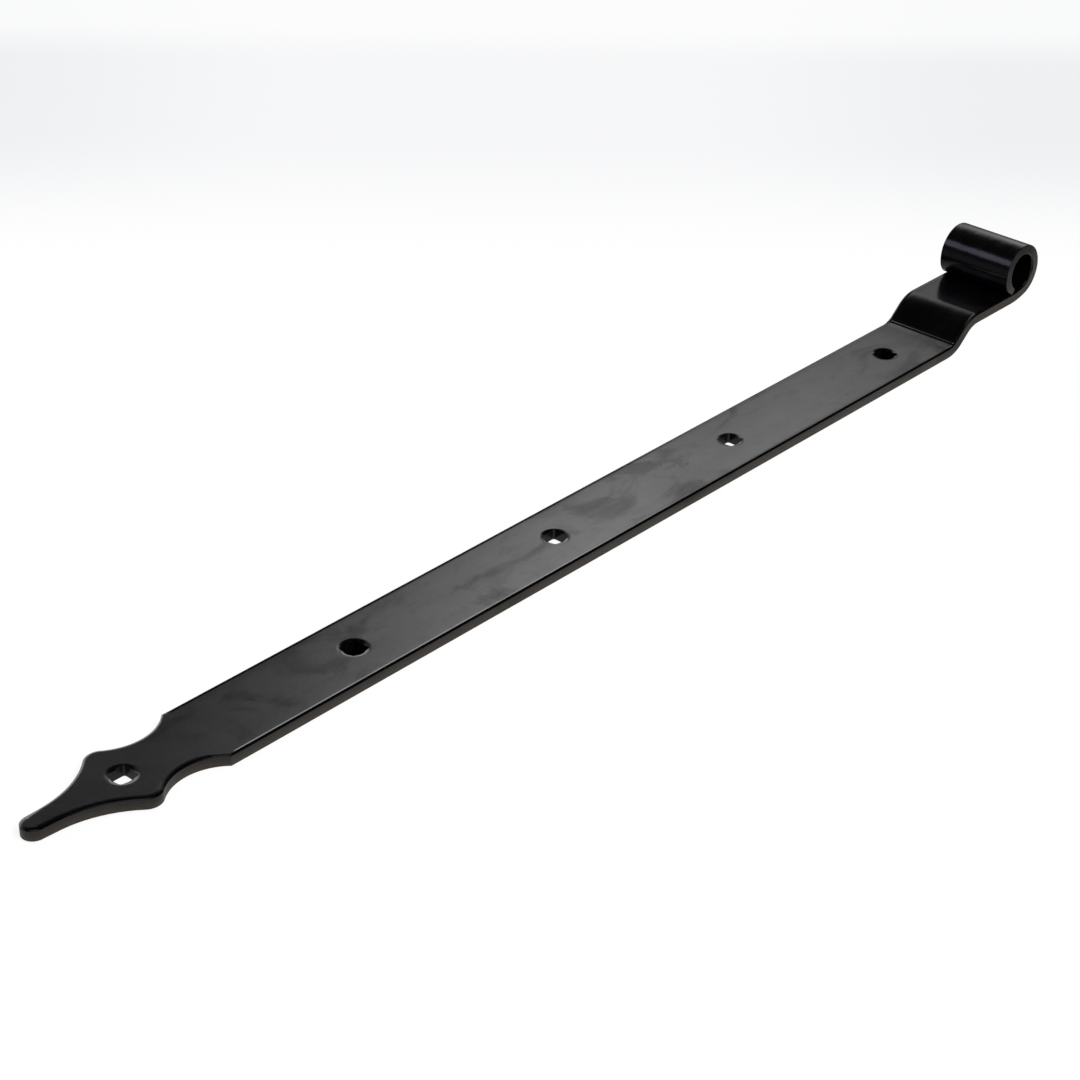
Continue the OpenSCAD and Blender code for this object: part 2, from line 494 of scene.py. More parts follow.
def throat_cutter(x):
    """The square throat of a bolt hole."""
    deselect_all()
    bpy.ops.mesh.primitive_cube_add(
        size=1, location=(x, 0, BAR_BOTTOM), scale=(HOLE_WIDTH, HOLE_WIDTH, 4 * BAR_THICKNESS)
    )
    cutter = bpy.context.object
    bpy.ops.object.transform_apply(location=True, rotation=True, scale=True)
    edit(cutter, "EDGE")
    pick_edges(cutter, lambda a, b: abs(a.z - b.z) > BAR_THICKNESS)
    bpy.ops.mesh.bevel(offset=HOLE_CORNER, segments=CORNER_STEPS, affect="EDGES")
    leave_edit()
    return cutter


def punch_holes(leaf):
    for i, radius in enumerate(RIM_RADII):
        x = FIRST_HOLE + i * HOLE_PITCH
        cut_away(leaf, rim_cutter(x, radius))
        cut_away(leaf, throat_cutter(x))


def set_spear(leaf):
    """Lifts the spear a little and leans its tip, fading out towards the bar."""
    edit(leaf, "FACE")
    for step in range(SPEAR_SLICES):
        x = SHOULDER_X - SPEAR_LEAD_IN + step * SPEAR_SLICE
        for height in (BAR_BOTTOM, BAR_TOP):
            pick_faces(leaf, lambda co, n: abs(n.z) > 0.99 and abs(co.z - height) < TINY)
            bpy.ops.mesh.bisect(plane_co=(x, 0, 0), plane_no=(1, 0, 0))
    pick_verts(leaf, lambda co: co.x > LAST_HOLE)
    bpy.ops.transform.translate(
        value=(0, 0, SPEAR_LIFT),
        use_proportional_edit=True,
        proportional_edit_falloff="SMOOTH",
        proportional_size=SPEAR_LIFT_REACH,
    )
    pick_verts(leaf, lambda co: co.x > TIP_X)
    bpy.ops.transform.translate(
        value=(0, -SPEAR_LEAN, 0),
        use_proportional_edit=True,
        proportional_edit_falloff="SMOOTH",
        proportional_size=SPEAR_LEAN_REACH,
    )
    leave_edit()


def bend(angle, centre, steps):
    """Carries the open end of the leaf round a line along Y, up and back when angle is negative."""
    bpy.ops.mesh.spin(steps=steps, angle=angle, center=(centre[0], 0, centre[1]), axis=(0, 1, 0))


def bend_foot(foot_centre):
    """The lower bend of the joggle, with a ring of points at each angle that the die marks."""
    turned = 0
    for angle, *_ in CREASE:
        bend(math.radians(turned - angle), foot_centre, 1)
        turned = angle


def press_crease(leaf, foot_centre):
    """Marks the top of the lower bend with the edge of the joggling die."""
    for angle, lift, crisp in CREASE:
        turn = math.radians(angle)
        outward = Vector((-math.sin(turn), 0, -math.cos(turn)))
        ring = Vector((foot_centre[0], 0, foot_centre[1])) + BEND_INNER * outward

        def on_ring(co):
            return (Vector((co.x, 0, co.z)) - ring).length < BAR_DROP + CROWN_DROP + TINY

        if crisp:
            pick_edges(leaf, lambda a, b: on_ring(a) and on_ring(b))
            bpy.ops.mesh.mark_sharp()
        pick_verts(leaf, on_ring)
        slide(*(-lift * outward))


def draw_in_eye(leaf):
    """Draws in the outer edges of the eye, which the rolling stretched."""
    for reach in EYE_DRAW_REACHES:
        pick_verts(
            leaf,
            lambda co: co.x < reach
            and math.hypot(co.x, co.z) > EYE_RADIUS - 2 * LOWER_ROUND,
        )
        share = EYE_DRAW ** (1 / len(EYE_DRAW_REACHES))
        bpy.ops.transform.resize(value=(1, share, 1), center_override=(0, 0, 0))


def thin_lip(leaf):
    """Hammers the lip of the eye thinner towards its end: its outside is pressed in ring by ring."""
    shift = (EYE_RADIUS**2 - LIP_END_RADIUS**2) / (
        2 * (EYE_RADIUS - LIP_END_RADIUS * math.cos(LIP_START - LIP_END))
    )
    for step in range(1, LIP_STEPS + 1):
        angle = LIP_START + (LIP_SWEEP_END - LIP_START) * step / LIP_STEPS
        turn = angle - LIP_START
        wanted = shift * math.cos(turn) + math.sqrt(
            (EYE_RADIUS - shift) ** 2 - (shift * math.sin(turn)) ** 2
        )
        outward = Vector((math.cos(angle), 0, math.sin(angle)))
        across = Vector((-outward.z, 0, outward.x))
        middle = BORE_RADIUS + BAR_THICKNESS / 2
        pick_verts(
            leaf,
            lambda co: abs(co.dot(across)) < TINY / 4 and co.dot(outward) > middle,
        )
        slide(*((wanted - EYE_RADIUS) * outward))


def close_lip(leaf):
    """Closes the end of the lip with a rounded edge."""
    thickness = LIP_END_THICKNESS
    outward = Vector((math.cos(LIP_SWEEP_END), 0, math.sin(LIP_SWEEP_END)))
    onward = Vector((outward.z, 0, -outward.x))
    pick_edges(
        leaf,
        lambda a, b: abs(a.dot(onward)) < TINY / 4
        and abs(b.dot(onward)) < TINY / 4
        and a.dot(outward) > 0
        and b.dot(outward) > 0,
    )
    centre = (BORE_RADIUS + thickness / 2) * outward
    half_width, half_thickness = BAR_HALF_WIDTH, thickness / 2
    forward = 0.0
    for step in range(1, LIP_ROUND_STEPS + 1):
        angle = step * LIP_ROUND_TURN / LIP_ROUND_STEPS
        reach, inset = LIP_ROUND * math.sin(angle), LIP_ROUND * (1 - math.cos(angle))
        pull(*((reach - forward) * onward))
        forward = reach
        new_width, new_thickness = BAR_HALF_WIDTH - inset, thickness / 2 - inset
        thinner = new_thickness / half_thickness
        bpy.ops.transform.resize(
            value=(thinner, new_width / half_width, thinner),
            center_override=centre + forward * onward,
        )
        half_width, half_thickness = new_width, new_thickness
    bpy.ops.mesh.edge_face_add()


def form_joggle_and_eye(leaf):
    """Sweeps the open end of the bar up the joggle, along the flat and round the eye to the lip."""
    rise = JOGGLE_HEIGHT - (BEND_INNER + BEND_OUTER) * (1 - math.cos(JOGGLE_ANGLE))
    run = rise / math.tan(JOGGLE_ANGLE)
    foot_centre = (JOGGLE_FOOT, BAR_BOTTOM + BEND_OUTER)
    head_centre = (
        JOGGLE_FOOT - (BEND_INNER + BEND_OUTER) * math.sin(JOGGLE_ANGLE) - run,
        FLAT_BOTTOM - BEND_INNER,
    )
    lead_distance = LEAD_RADIUS - EYE_RADIUS
    lead_x = math.sqrt(lead_distance**2 - (lead_distance - EYE_RISE) ** 2)
    lead_angle = math.asin(lead_x / lead_distance)
    eye_angle = math.radians(270) - lead_angle - LIP_START
    edit(leaf, "EDGE")
    pick_faces(leaf, lambda co, n: abs(co.x - JOGGLE_FOOT) < TINY and abs(n.x) > 0.9)
    bpy.ops.mesh.delete(type="FACE")
    pick_edges(
        leaf, lambda a, b: abs(a.x - JOGGLE_FOOT) < TINY and abs(b.x - JOGGLE_FOOT) < TINY
    )
    bend_foot(foot_centre)
    pull(-run, 0, rise)
    bend(JOGGLE_ANGLE, head_centre, HEAD_STEPS)
    pull(lead_x - head_centre[0])
    bend(-lead_angle, (lead_x, FLAT_BOTTOM + LEAD_RADIUS), LEAD_STEPS)
    bend(-eye_angle, (0, 0), steps_for(eye_angle))
    bend(LIP_SWEEP_END - LIP_START, (0, 0), LIP_STEPS)
    press_crease(leaf, foot_centre)
    draw_in_eye(leaf)
    thin_lip(leaf)
    close_lip(leaf)
    leave_edit()


def finish_shading(leaf):
    """Smooth over the bends and roundings, crisp at the punched edges, and flat on the faces."""
    edit(leaf, "EDGE")
    for y in (BAR_CREST, BAR_CREST - BURR_WIDTH):
        pick_edges(
            leaf,
            lambda a, b: abs(abs(a.y) - y) < TINY / 2
            and abs(a.y - b.y) < TINY / 2
            and a.x < SHOULDER_X
            and abs(a.x - b.x) > TINY,
        )
        bpy.ops.mesh.mark_sharp()
    leave_edit()
    deselect_all()
    bpy.context.view_layer.objects.active = leaf
    leaf.select_set(True)
    bpy.ops.object.shade_smooth_by_angle(angle=SHADE_ANGLE)
    use_modifier(leaf, "WEIGHTED_NORMAL", keep_sharp=True, weight=50)


# ---------------------------------------------------------------- shader helpers
def node(tree, kind, place, settings=None, **inputs):
    """Adds a node. inputs are its input sockets: a value, or another node's output to link."""
    new = tree.nodes.new(kind)
    new.location = place
    for name, value in (settings or {}).items():
        setattr(new, name, value)
    for name, value in inputs.items():
        socket = new.inputs[int(name[1:])] if name[0] == "_" else new.inputs[name.replace("_", " ")]
        if isinstance(value, bpy.types.NodeSocket):
            tree.links.new(value, socket)
        else:
            socket.default_value = value
    return new


def maths(tree, place, operation, a, b=0.0, clamp=False):
    new = node(tree, "ShaderNodeMath", place, {"operation": operation, "use_clamp": clamp}, _0=a, _1=b)
    return new.outputs[0]


def spread(tree, place, value, low, high, out_low=0.0, out_high=1.0):
    """Maps value smoothly from low..high to out_low..out_high."""
    new = node(
        tree,
        "ShaderNodeMapRange",
        place,
        {"interpolation_type": "SMOOTHSTEP"},
        _0=value,
        _1=low,
        _2=high,
        _3=out_low,
        _4=out_high,
    )
    return new.outputs[0]


def blend_colour(tree, place, share, first, second):
    new = node(tree, "ShaderNodeMix", place, {"data_type": "RGBA"}, _0=share, _6=first, _7=second)
    return new.outputs[2]


def new_group(name, inputs, outputs):
    """A node group with these named inputs and outputs. Inputs are numbers with a default."""
    tree = bpy.data.node_groups.new(name, "ShaderNodeTree")
    for label, default in inputs.items():
        socket = tree.interface.new_socket(name=label, in_out="INPUT", socket_type="NodeSocketFloat")
        socket.default_value = default
    for label in outputs:
        tree.interface.new_socket(name=label, in_out="OUTPUT", socket_type="NodeSocketFloat")
    start = tree.nodes.new("NodeGroupInput")
    start.location = (-1200, 0)
    end = tree.nodes.new("NodeGroupOutput")
    end.location = (900, 0)
    return tree, start, end


def place_group(tree, group, place, **inputs):
    return node(tree, "ShaderNodeGroup", place, {"node_tree": group}, **inputs)


# ---------------------------------------------------------------- effects on the paint
def build_edge_finder():
    """How far a spot's surface leans from the bar's flat face towards its cut side, from 0 to 1."""
    tree, start, end = new_group("edge_finder", {"Shoulder X": 0.5}, ["Lean"])
    place = node(tree, "ShaderNodeTexCoord", (-1000, 200))
    spot = node(tree, "ShaderNodeSeparateXYZ", (-800, 300), _0=place.outputs["Object"])
    facing = node(tree, "ShaderNodeSeparateXYZ", (-800, 100), _0=place.outputs["Normal"])
    on_bar = maths(tree, (-600, 150), "ABSOLUTE", facing.outputs["Y"])
    squared = maths(tree, (-600, 0), "MULTIPLY", facing.outputs["Z"], facing.outputs["Z"])
    rest = maths(tree, (-400, 0), "SUBTRACT", 1.0, squared, clamp=True)
    on_finial = maths(tree, (-200, 0), "SQRT", rest)
    past = maths(tree, (-600, 350), "GREATER_THAN", spot.outputs["X"], start.outputs["Shoulder X"])
    lean = node(
        tree, "ShaderNodeMix", (0, 100), {"data_type": "FLOAT"}, _0=past, _2=on_bar, _3=on_finial
    )
    tree.links.new(lean.outputs[0], end.inputs["Lean"])
    return tree


def build_paint_film():
    """Unevenness of sprayed paint: blotches, long faint streaks, stains, specks and fine grain."""
    tree, start, end = new_group(
        "paint_film",
        {
            "Blotch Scale": 60.0,
            "Streak Scale": 220.0,
            "Stain Scale": 38.0,
            "Speck Scale": 110.0,
            "Grain Scale": 1500.0,
        },
        ["Blotch", "Streak", "Stain", "Speck", "Grain"],
    )
    place = node(tree, "ShaderNodeTexCoord", (-1000, 300)).outputs["Object"]
    broad = node(
        tree, "ShaderNodeTexNoise", (-400, 500), Vector=place,
        Scale=start.outputs["Blotch Scale"], Detail=3.0, Roughness=0.55,
    )
    tree.links.new(broad.outputs[0], end.inputs["Blotch"])
    drawn = node(tree, "ShaderNodeMapping", (-700, 250), Vector=place, Scale=(0.05, 1.0, 1.0))
    streak = node(
        tree, "ShaderNodeTexNoise", (-400, 250), Vector=drawn.outputs[0],
        Scale=start.outputs["Streak Scale"], Detail=2.0, Roughness=0.5,
    )
    tree.links.new(streak.outputs[0], end.inputs["Streak"])
    wiped = node(tree, "ShaderNodeMapping", (-700, 50), Vector=place, Scale=(0.6, 1.0, 1.0))
    smear = node(
        tree, "ShaderNodeTexNoise", (-400, 50), Vector=wiped.outputs[0],
        Scale=start.outputs["Stain Scale"], Detail=5.0, Roughness=0.62, Distortion=1.2,
    )
    stain = spread(tree, (-200, 50), smear.outputs[0], 0.52, 0.68)
    tree.links.new(stain, end.inputs["Stain"])
    cells = node(
        tree, "ShaderNodeTexVoronoi", (-600, -200), {"feature": "F1"}, Vector=place,
        Scale=start.outputs["Speck Scale"], Randomness=1.0,
    )
    near = spread(tree, (-400, -200), cells.outputs["Distance"], 0.03, 0.13, 1.0, 0.0)
    chance = node(tree, "ShaderNodeSeparateColor", (-400, -350), _0=cells.outputs["Color"])
    rare = maths(tree, (-200, -350), "GREATER_THAN", chance.outputs[0], 0.8)
    speck = maths(tree, (0, -250), "MULTIPLY", near, rare)
    tree.links.new(speck, end.inputs["Speck"])
    grain = node(
        tree, "ShaderNodeTexNoise", (-400, -550), Vector=place,
        Scale=start.outputs["Grain Scale"], Detail=2.0, Roughness=0.6,
    )
    tree.links.new(grain.outputs[0], end.inputs["Grain"])
    return tree


# the black of the faces, and the brown of the sheared sides with its pale flecks
FACE_BLACKS = ((0.0004, 0.0004, 0.0006, 1), (0.0010, 0.0009, 0.0012, 1))
SIDE_BROWNS = ((0.010, 0.007, 0.004, 1), (0.036, 0.026, 0.016, 1))
SIDE_FLECK = (0.16, 0.13, 0.10, 1)


def satin_black_paint(edge_finder, paint_film):
    """Satin black paint on forged steel, brownish on the sheared sides, where shade is painted in on
    the eye, in the holes and along the top.
    """
    material = bpy.data.materials.new("satin_black_paint")
    material.use_nodes = True
    tree = material.node_tree
    tree.nodes.clear()
    lean = place_group(tree, edge_finder, (-1400, 200), Shoulder_X=SHOULDER_X).outputs[0]
    film = place_group(tree, paint_film, (-1400, -200))
    fine = place_group(
        tree, paint_film, (-1400, -600), Speck_Scale=700.0, Streak_Scale=900.0, Stain_Scale=170.0
    )
    side = spread(tree, (-1100, 300), lean, 0.92, 0.99)
    spot = node(
        tree, "ShaderNodeSeparateXYZ", (-1700, -900),
        _0=node(tree, "ShaderNodeTexCoord", (-1900, -900)).outputs["Object"],
    )
    along, across, height = spot.outputs["X"], spot.outputs["Y"], spot.outputs["Z"]

    # painted shade: the brown of the cut sides is darkened to near black on the upper front of the eye,
    # and in the holes
    over_eye = maths(
        tree, (-1300, 700), "ADD", maths(tree, (-1500, 700), "MULTIPLY", along, -0.6),
        maths(tree, (-1500, 850), "MULTIPLY", height, -0.8),
    )
    past_eye = spread(tree, (-1100, 700), over_eye, -0.008, 0.004, 0.2, 1.0)
    below_eye = spread(tree, (-1100, 850), height, -0.010, -0.006, 1.0, 0.0)
    eye_top_shade = maths(tree, (-900, 750), "MAXIMUM", past_eye, below_eye)
    # painted shade in the holes: the brown of the cut sides is dimmed within each hole
    past_first = maths(tree, (-1700, 1000), "SUBTRACT", along, FIRST_HOLE)
    steps = maths(tree, (-1500, 1000), "DIVIDE", past_first, HOLE_PITCH)
    nearest = maths(tree, (-1300, 1100), "ROUND", steps)
    from_hole = maths(tree, (-1300, 1000), "SUBTRACT", steps, nearest)
    from_hole = maths(tree, (-1100, 1000), "MULTIPLY", from_hole, HOLE_PITCH)
    from_hole = node(tree, "ShaderNodeCombineXYZ", (-900, 1000), _0=from_hole, _1=across)
    from_hole = node(
        tree, "ShaderNodeVectorMath", (-700, 1000), {"operation": "LENGTH"}, _0=from_hole.outputs[0]
    ).outputs["Value"]
    hole_wall_shade = spread(tree, (-500, 1000), from_hole, 0.0076, 0.008, 0.12, 1.0)
    shaded_side_share = maths(tree, (-500, 800), "MULTIPLY", side, eye_top_shade)
    shaded_side_share = maths(tree, (-300, 900), "MULTIPLY", shaded_side_share, hole_wall_shade)
    # painted shade: the brown of the cut side is darker along the upper part of the bar
    upper = spread(tree, (-700, 1200), height, -0.0238, -0.0208, 1.0, 0.3)
    above = spread(tree, (-700, 1350), height, -0.0198, -0.015, 0.3, 1.0)
    upper_side_shade = maths(tree, (-500, 1250), "MAXIMUM", upper, above)
    shaded_side_share = maths(tree, (-100, 900), "MULTIPLY", shaded_side_share, upper_side_shade)

    face_colour = blend_colour(tree, (-700, 300), film.outputs["Blotch"], *FACE_BLACKS)
    side_brown_colour = blend_colour(tree, (-900, 500), fine.outputs["Streak"], *SIDE_BROWNS)
    flecked = blend_colour(tree, (-700, 500), fine.outputs["Speck"], side_brown_colour, SIDE_FLECK)
    coloured = blend_colour(tree, (-400, 400), shaded_side_share, face_colour, flecked)

    rough = spread(tree, (-900, 0), film.outputs["Blotch"], 0.3, 0.7, 0.16, 0.21)
    rougher = maths(tree, (-900, -120), "MULTIPLY", side, 0.22)
    rough = maths(tree, (-700, 0), "ADD", rough, rougher)
    # stains, specks and streaks each take their share of the gloss
    dull = maths(tree, (-900, -300), "MULTIPLY", film.outputs["Stain"], 0.50)
    for x, mark, share in (
        (-700, film.outputs["Speck"], 0.5),
        (-500, film.outputs["Streak"], 0.25),
        (-400, fine.outputs["Stain"], 0.16),
    ):
        taken = maths(tree, (x - 200, -420), "MULTIPLY", mark, share)
        dull = maths(tree, (x, -300), "ADD", dull, taken)
    gloss = maths(tree, (-300, -300), "SUBTRACT", 0.76, dull, clamp=True)
    on_eye = spread(tree, (-500, -450), height, -0.008, -0.006, 0.4, 1.0)
    on_bar = spread(tree, (-500, -550), along, 0.056, 0.072, 0.4, 1.0)
    shown = maths(tree, (-300, -450), "MAXIMUM", on_eye, on_bar)
    gloss = maths(tree, (-150, -350), "MULTIPLY", gloss, shown)
    # the paint lies thick and dull down in the holes
    in_hole = spread(tree, (-300, -700), from_hole, 0.0058, 0.0066, 0.3, 1.0)
    gloss = maths(tree, (-50, -400), "MULTIPLY", gloss, in_hole)

    hammered = spread(tree, (-1100, -900), height, -0.0085, -0.007, 0.14, 0.6)
    wave = maths(tree, (-900, -650), "MULTIPLY", film.outputs["Blotch"], hammered)
    grain = maths(tree, (-900, -780), "MULTIPLY", film.outputs["Grain"], 0.005)
    relief = maths(tree, (-700, -650), "ADD", wave, grain)
    bump = node(tree, "ShaderNodeBump", (-300, -600), Strength=1.0, Distance=0.001, Height=relief)
    shader = node(
        tree, "ShaderNodeBsdfPrincipled", (0, 100),
        Base_Color=coloured, Roughness=rough, IOR=1.5, Normal=bump.outputs[0],
        Coat_Weight=gloss, Coat_Roughness=0.17, Coat_IOR=1.5,
    )
    node(tree, "ShaderNodeOutputMaterial", (300, 100), _0=shader.outputs[0])
    return material


# ---------------------------------------------------------------- floor, backdrop, lamps and camera
AIM = Vector((310.2, -7.85, -24.85)) * MM
CAMERA_PLACE = Vector((1007.1, 621.7, 532.6)) * MM
CAMERA_ROLL = math.radians(0.59)
CAMERA_LENS = 88.57
CAMERA_SENSOR = 36
WALL_DISTANCE = 1.514
WALL_HEIGHT = 1.3
FLOOR_DEPTH = 3.2
SWEEP_RADIUS = 0.12
SWEEP_STEPS = 12
STAGE_WIDTH = 4.0
# the holes whose floor is painted black as their shadow, counted from the eye
SHADOWED_HOLES = (0, 3)


def seen_only_from_front(tree, shader, place):
    """Lets everything through from behind, so the stage hides nothing in views from other sides."""
    clear = node(tree, "ShaderNodeBsdfTransparent", (place[0], place[1] - 150))
    facing = node(tree, "ShaderNodeNewGeometry", (place[0], place[1] + 250))
    mixed = node(
        tree, "ShaderNodeMixShader", (place[0] + 250, place[1]),
        _0=facing.outputs["Backfacing"], _1=shader, _2=clear.outputs[0],
    )
    node(tree, "ShaderNodeOutputMaterial", (place[0] + 500, place[1]), _0=mixed.outputs[0])


def stage_paper():
    """White paper of the floor and backdrop. Its lit patch is what the paint mirrors."""
    material = bpy.data.materials.new("stage_paper")
    material.use_nodes = True
    tree = material.node_tree
    tree.nodes.clear()
    rays = node(tree, "ShaderNodeLightPath", (-1000, 600))
    place = node(tree, "ShaderNodeTexCoord", (-1400, 0))
    spot = node(tree, "ShaderNodeSeparateXYZ", (-1200, 0), _0=place.outputs["Object"])
    height = spot.outputs["Z"]

    # how bright the backdrop is as a reflection: one soft patch, slanting up to the left, that is
    # dimmer towards the tip and the joggle, with a faint light again over the eye
    slant = maths(tree, (-1000, 100), "MULTIPLY", spot.outputs["X"], 0.66)
    level = maths(tree, (-800, 100), "ADD", height, slant)
    near_bottom = spread(tree, (-600, 100), level, 0.27, 0.40, 0.4, 1.3)
    near_top = spread(tree, (-600, 200), level, 0.41, 0.56, 1.0, 0.0)
    band = maths(tree, (-400, 150), "MULTIPLY", near_bottom, near_top)
    over_tip = spread(tree, (-800, 300), spot.outputs["X"], -0.28, 0.04, 0.18, 1.3)
    over_bar = spread(tree, (-800, 400), spot.outputs["X"], 0.04, 0.12, 1.0, 0.72)
    over_joggle = spread(tree, (-800, 500), spot.outputs["X"], 0.14, 0.25, 1.0, 0.58)
    over_eye = spread(tree, (-800, 600), spot.outputs["X"], 0.25, 0.29, 0.0, 0.2)
    length = maths(tree, (-700, 350), "MULTIPLY", over_tip, over_bar)
    length = maths(tree, (-600, 350), "MULTIPLY", length, over_joggle)
    length = maths(tree, (-500, 450), "ADD", length, over_eye)
    patch = maths(tree, (-300, 300), "MULTIPLY", band, length)
    skirt = spread(tree, (-600, 700), spot.outputs["X"], 0.02, 0.28, 1.4, 0.3)
    low_down = spread(tree, (-600, 850), level, 0.1, 0.24, 1.0, 0.0)
    skirt = maths(tree, (-400, 600), "MULTIPLY", skirt, low_down)
    patch = maths(tree, (-300, 200), "ADD", patch, skirt)
    patch = maths(tree, (-200, 250), "ADD", patch, 0.003)
    on_wall = spread(tree, (-600, -100), height, 0.02, SWEEP_RADIUS)

    # the floor is lit beside the leaf and falls away from it, sooner on the far side
    where = node(tree, "ShaderNodeNewGeometry", (-1200, -400)).outputs["Position"]
    ground = node(tree, "ShaderNodeSeparateXYZ", (-1000, -400), _0=where)
    across = ground.outputs["Y"]
    far_side = spread(tree, (-800, -350), across, -0.046, -0.026)
    near_side = spread(tree, (-800, -550), across, 0.03, 0.07, 0.36, 0.08)
    pool = maths(tree, (-600, -400), "MULTIPLY", far_side, near_side)
    beyond = spread(tree, (-600, -600), across, -0.09, -0.06, 0.1, 0.0)
    pool = maths(tree, (-450, -400), "ADD", pool, beyond)
    floor_light = node(tree, "ShaderNodeBsdfDiffuse", (-200, -150), Color=(0.93, 0.93, 0.93, 1))
    floor_glow = node(
        tree, "ShaderNodeEmission", (-200, -300), Color=(1.0, 0.99, 0.97, 1), Strength=pool
    )
    floor_look = node(
        tree, "ShaderNodeMixShader", (0, -200),
        _0=rays.outputs["Is Glossy Ray"], _1=floor_light.outputs[0], _2=floor_glow.outputs[0],
    )
    wall_light = node(tree, "ShaderNodeEmission", (-200, 50), Color=(1, 1, 1, 1), Strength=patch)
    lit = node(
        tree, "ShaderNodeMixShader", (150, 0),
        _0=on_wall, _1=floor_look.outputs[0], _2=wall_light.outputs[0],
    )

    # seen directly: white, a little grey and cool towards the sweep and its two sides
    inwards = spread(tree, (-800, 800), spot.outputs["Y"], -0.31, -0.13)
    upwards = spread(tree, (-800, 950), height, 0.013, 0.03, 1.0, 0.35)
    shaded = maths(tree, (-600, 850), "MULTIPLY", inwards, upwards)
    off_centre = maths(tree, (-1000, 1100), "ADD", spot.outputs["X"], 0.03)
    off_centre = maths(tree, (-800, 1100), "ABSOLUTE", off_centre)
    sides = spread(tree, (-600, 1000), off_centre, 0.1, 0.3)
    cool = blend_colour(tree, (-400, 950), sides, (0.925, 0.928, 0.94, 1), (0.865, 0.872, 0.89, 1))
    paper = blend_colour(tree, (-200, 850), shaded, (1, 1, 1, 1), cool)
    plain = node(tree, "ShaderNodeEmission", (0, 300), Color=paper, Strength=1.0)
    share = spread(tree, (-200, 600), spot.outputs["Y"], -0.8, -0.4, 0.85, 1.0)
    seen = maths(tree, (0, 600), "MULTIPLY", rays.outputs["Is Camera Ray"], share)
    shown = node(
        tree, "ShaderNodeMixShader", (250, 100), _0=seen, _1=lit.outputs[0], _2=plain.outputs[0]
    )

    # painted shadow: the paper is painted black right under the shadowed holes, so that no white shows
    # through them
    aside = maths(tree, (300, -400), "ABSOLUTE", across)
    hole_shadow = 0.0
    for i in SHADOWED_HOLES:
        row = -600 - 200 * i
        hole_x = FIRST_HOLE + i * HOLE_PITCH
        beside = maths(tree, (100, row), "SUBTRACT", ground.outputs["X"], hole_x)
        beside = maths(tree, (300, row), "ABSOLUTE", beside)
        reach = maths(tree, (500, row), "MAXIMUM", beside, aside)
        inside = maths(tree, (700, row), "LESS_THAN", reach, HOLE_WIDTH / 2)
        hole_shadow = maths(tree, (900, row), "MAXIMUM", inside, hole_shadow)
    black = node(tree, "ShaderNodeEmission", (250, -100), Color=(0, 0, 0, 1), Strength=0.0)
    final = node(
        tree, "ShaderNodeMixShader", (450, 0), _0=hole_shadow, _1=shown.outputs[0], _2=black.outputs[0]
    )
    seen_only_from_front(tree, final.outputs[0], (700, 100))
    return material


def build_stage():
    """Floor, sweep and backdrop in one sheet. The backdrop stands square to the camera's aim."""
    toward = Vector((AIM.x - CAMERA_PLACE.x, AIM.y - CAMERA_PLACE.y, 0)).normalized()
    foot = Vector((CAMERA_PLACE.x, CAMERA_PLACE.y, BAR_BOTTOM)) + WALL_DISTANCE * toward
    deselect_all()
    bpy.ops.mesh.primitive_plane_add(size=2)
    sheet = bpy.context.object
    sheet.name = "stage_floor_and_backdrop"
    edit(sheet, "VERT")
    pick_verts(sheet, lambda co: co.y < 0)
    slide(y=1 - FLOOR_DEPTH)
    pick_verts(sheet, lambda co: co.y > 0)
    slide(y=-1 - SWEEP_RADIUS)
    pick_verts(sheet, lambda co: co.x > 0)
    slide(x=STAGE_WIDTH / 2 - 1)
    pick_verts(sheet, lambda co: co.x < 0)
    slide(x=1 - STAGE_WIDTH / 2)
    pick_edges(sheet, lambda a, b: a.y > -FLOOR_DEPTH / 2 and b.y > -FLOOR_DEPTH / 2)
    bpy.ops.mesh.spin(
        steps=SWEEP_STEPS,
        angle=-math.pi / 2,
        center=(0, -SWEEP_RADIUS, SWEEP_RADIUS),
        axis=(1, 0, 0),
    )
    pull(z=WALL_HEIGHT - SWEEP_RADIUS)
    leave_edit()
    bpy.ops.object.shade_smooth()
    sheet.rotation_euler = (0, 0, math.atan2(toward.y, toward.x) - math.pi / 2)
    sheet.location = foot
    sheet.data.materials.append(stage_paper())


